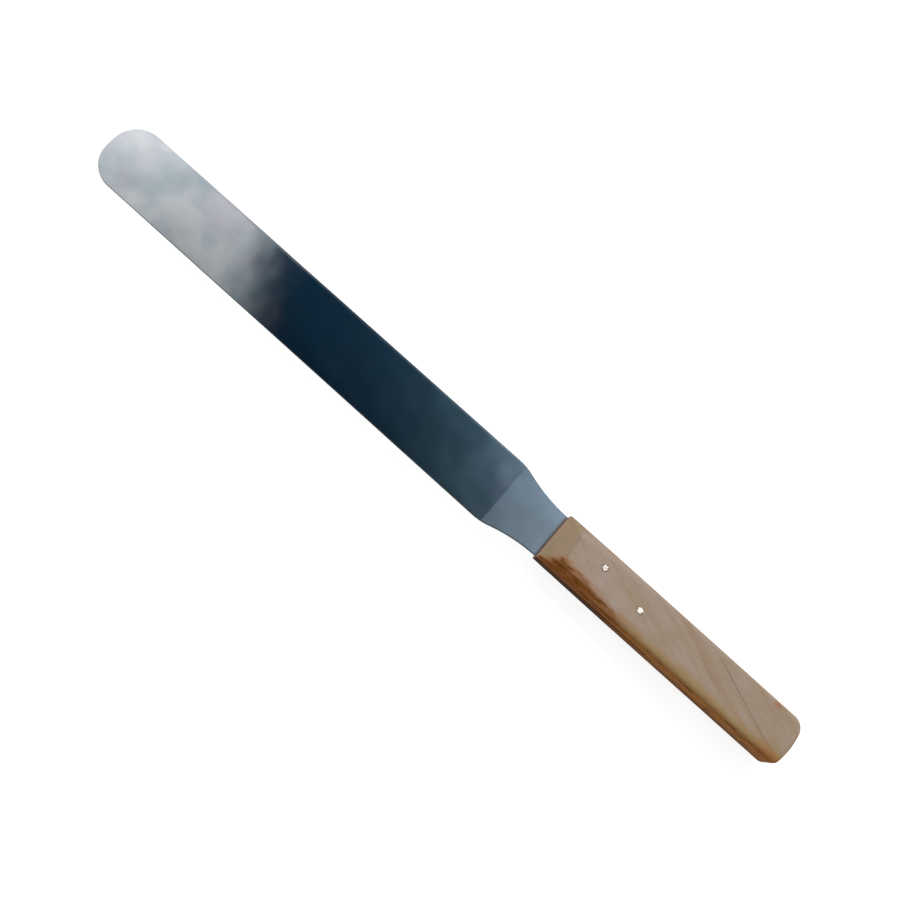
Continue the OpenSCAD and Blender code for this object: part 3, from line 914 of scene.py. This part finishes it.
class SPATULA_OT_make_stage(bpy.types.Operator):
    """Lays the floor, hangs the card and the lamps, and sets up the camera"""
    bl_idname = "spatula.make_stage"
    bl_label = "Make the stage"

    def execute(self, context):
        look = context.scene.spatula_stage
        bm = bmesh.new()
        bmesh.ops.create_grid(bm, x_segments=1, y_segments=1, size=look.floor_w / 2)
        bmesh.ops.translate(bm, verts=bm.verts[:], vec=(0, 0, -look.floor_gap))
        floor = mesh_object(bm, "floor")
        floor.data.materials.append(paper_floor(look))

        bm = bmesh.new()
        bmesh.ops.create_grid(bm, x_segments=1, y_segments=1, size=0.5)
        bmesh.ops.scale(bm, verts=bm.verts[:], vec=(look.card_to - look.card_from, look.card_w, 1))
        middle = (look.card_from + look.card_to) / 2
        bmesh.ops.translate(bm, verts=bm.verts[:], vec=(middle, look.card_y, look.card_z))
        card = mesh_object(bm, "card")
        card.data.materials.append(graded_card(look))
        for ray in ("camera", "diffuse", "shadow", "transmission", "volume_scatter"):
            setattr(card, "visible_" + ray, False)

        self.hang_lamps(context, look)
        self.set_camera(context, look)
        context.scene.view_settings.view_transform = "Standard"
        return {"FINISHED"}

    def hang_lamps(self, context, look):
        """One large soft lamp over the right long side, and a white room for the rest."""
        lamp = bpy.data.lights.new("key", "AREA")
        lamp.shape, lamp.size, lamp.energy = "SQUARE", look.key_w, look.key
        key = bpy.data.objects.new("key", lamp)
        context.scene.collection.objects.link(key)
        key.location = (look.key_x, look.key_y, look.key_z)
        key.rotation_euler = (-key.location).to_track_quat("-Z", "Y").to_euler()

        world = bpy.data.worlds.new("white_room")
        context.scene.world = world
        add = node_adder(world)
        level = add("Mix", {"Factor": seen_directly(add), "A": look.sky, "B": 1.0})
        room = add("Background", {"Color": linear("#FFFFFF"), "Strength": level})
        add("OutputWorld", {"Surface": room})

    def set_camera(self, context, look):
        """Stands the camera where the picture was taken from, rolled as it was."""
        data = bpy.data.cameras.new("camera")
        camera = bpy.data.objects.new("camera", data)
        context.scene.collection.objects.link(camera)
        context.scene.camera = camera
        back = Vector((math.sin(look.azimuth) * math.cos(look.elevation),
                       -math.cos(look.azimuth) * math.cos(look.elevation),
                       math.sin(look.elevation)))
        right = Vector((math.cos(look.azimuth), math.sin(look.azimuth), 0))
        up = back.cross(right)
        turned = Matrix((right, up, back)).transposed() @ Matrix.Rotation(look.roll, 3, "Z")
        aim = Vector((look.aim_x, look.aim_y, look.aim_z))
        camera.matrix_world = Matrix.Translation(aim + back * look.distance) @ turned.to_4x4()
        data.sensor_width = 36
        data.lens = data.sensor_width * look.focal_px / IMAGE_PX
        data.clip_start, data.clip_end = 0.01, 50


class SPATULA_PT_panel(bpy.types.Panel):
    """Lists the steps and their sizes in the sidebar"""
    bl_idname = "SPATULA_PT_panel"
    bl_label = "Lab spatula"
    bl_space_type = "VIEW_3D"
    bl_region_type = "UI"
    bl_category = "Spatula"

    def draw(self, context):
        for operator, groups in STEPS.items():
            box = self.layout.box()
            box.operator(operator)
            for name in groups:
                group = getattr(context.scene, name)
                for key in group.bl_rna.properties.keys():
                    if key not in ("rna_type", "name"):
                        box.prop(group, key)


GROUPS = {
    "spatula_blade": BladeSizes, "spatula_handle": HandleSizes, "spatula_pins": PinSizes,
    "steel_look": SteelLook, "beech_look": BeechLook, "wire_look": WireLook,
    "spatula_stage": StageLook,
}
STEPS = {
    "spatula.make_blade": ("spatula_blade", "steel_look"),
    "spatula.make_handle": ("spatula_handle", "beech_look"),
    "spatula.make_pins": ("spatula_pins", "wire_look"),
    "spatula.make_stage": ("spatula_stage",),
}
CLASSES = (*GROUPS.values(), SPATULA_OT_make_blade, SPATULA_OT_make_handle,
           SPATULA_OT_make_pins, SPATULA_OT_make_stage, SPATULA_PT_panel)


def register():
    for cls in CLASSES:
        bpy.utils.register_class(cls)
    for name, group in GROUPS.items():
        setattr(bpy.types.Scene, name, bpy.props.PointerProperty(type=group))


def unregister():
    for name in GROUPS:
        delattr(bpy.types.Scene, name)
    for cls in reversed(CLASSES):
        bpy.utils.unregister_class(cls)


def main():
    register()
    for step in STEPS:
        group, name = step.split(".")
        getattr(getattr(bpy.ops, group), name)()


if __name__ == "__main__":
    main()
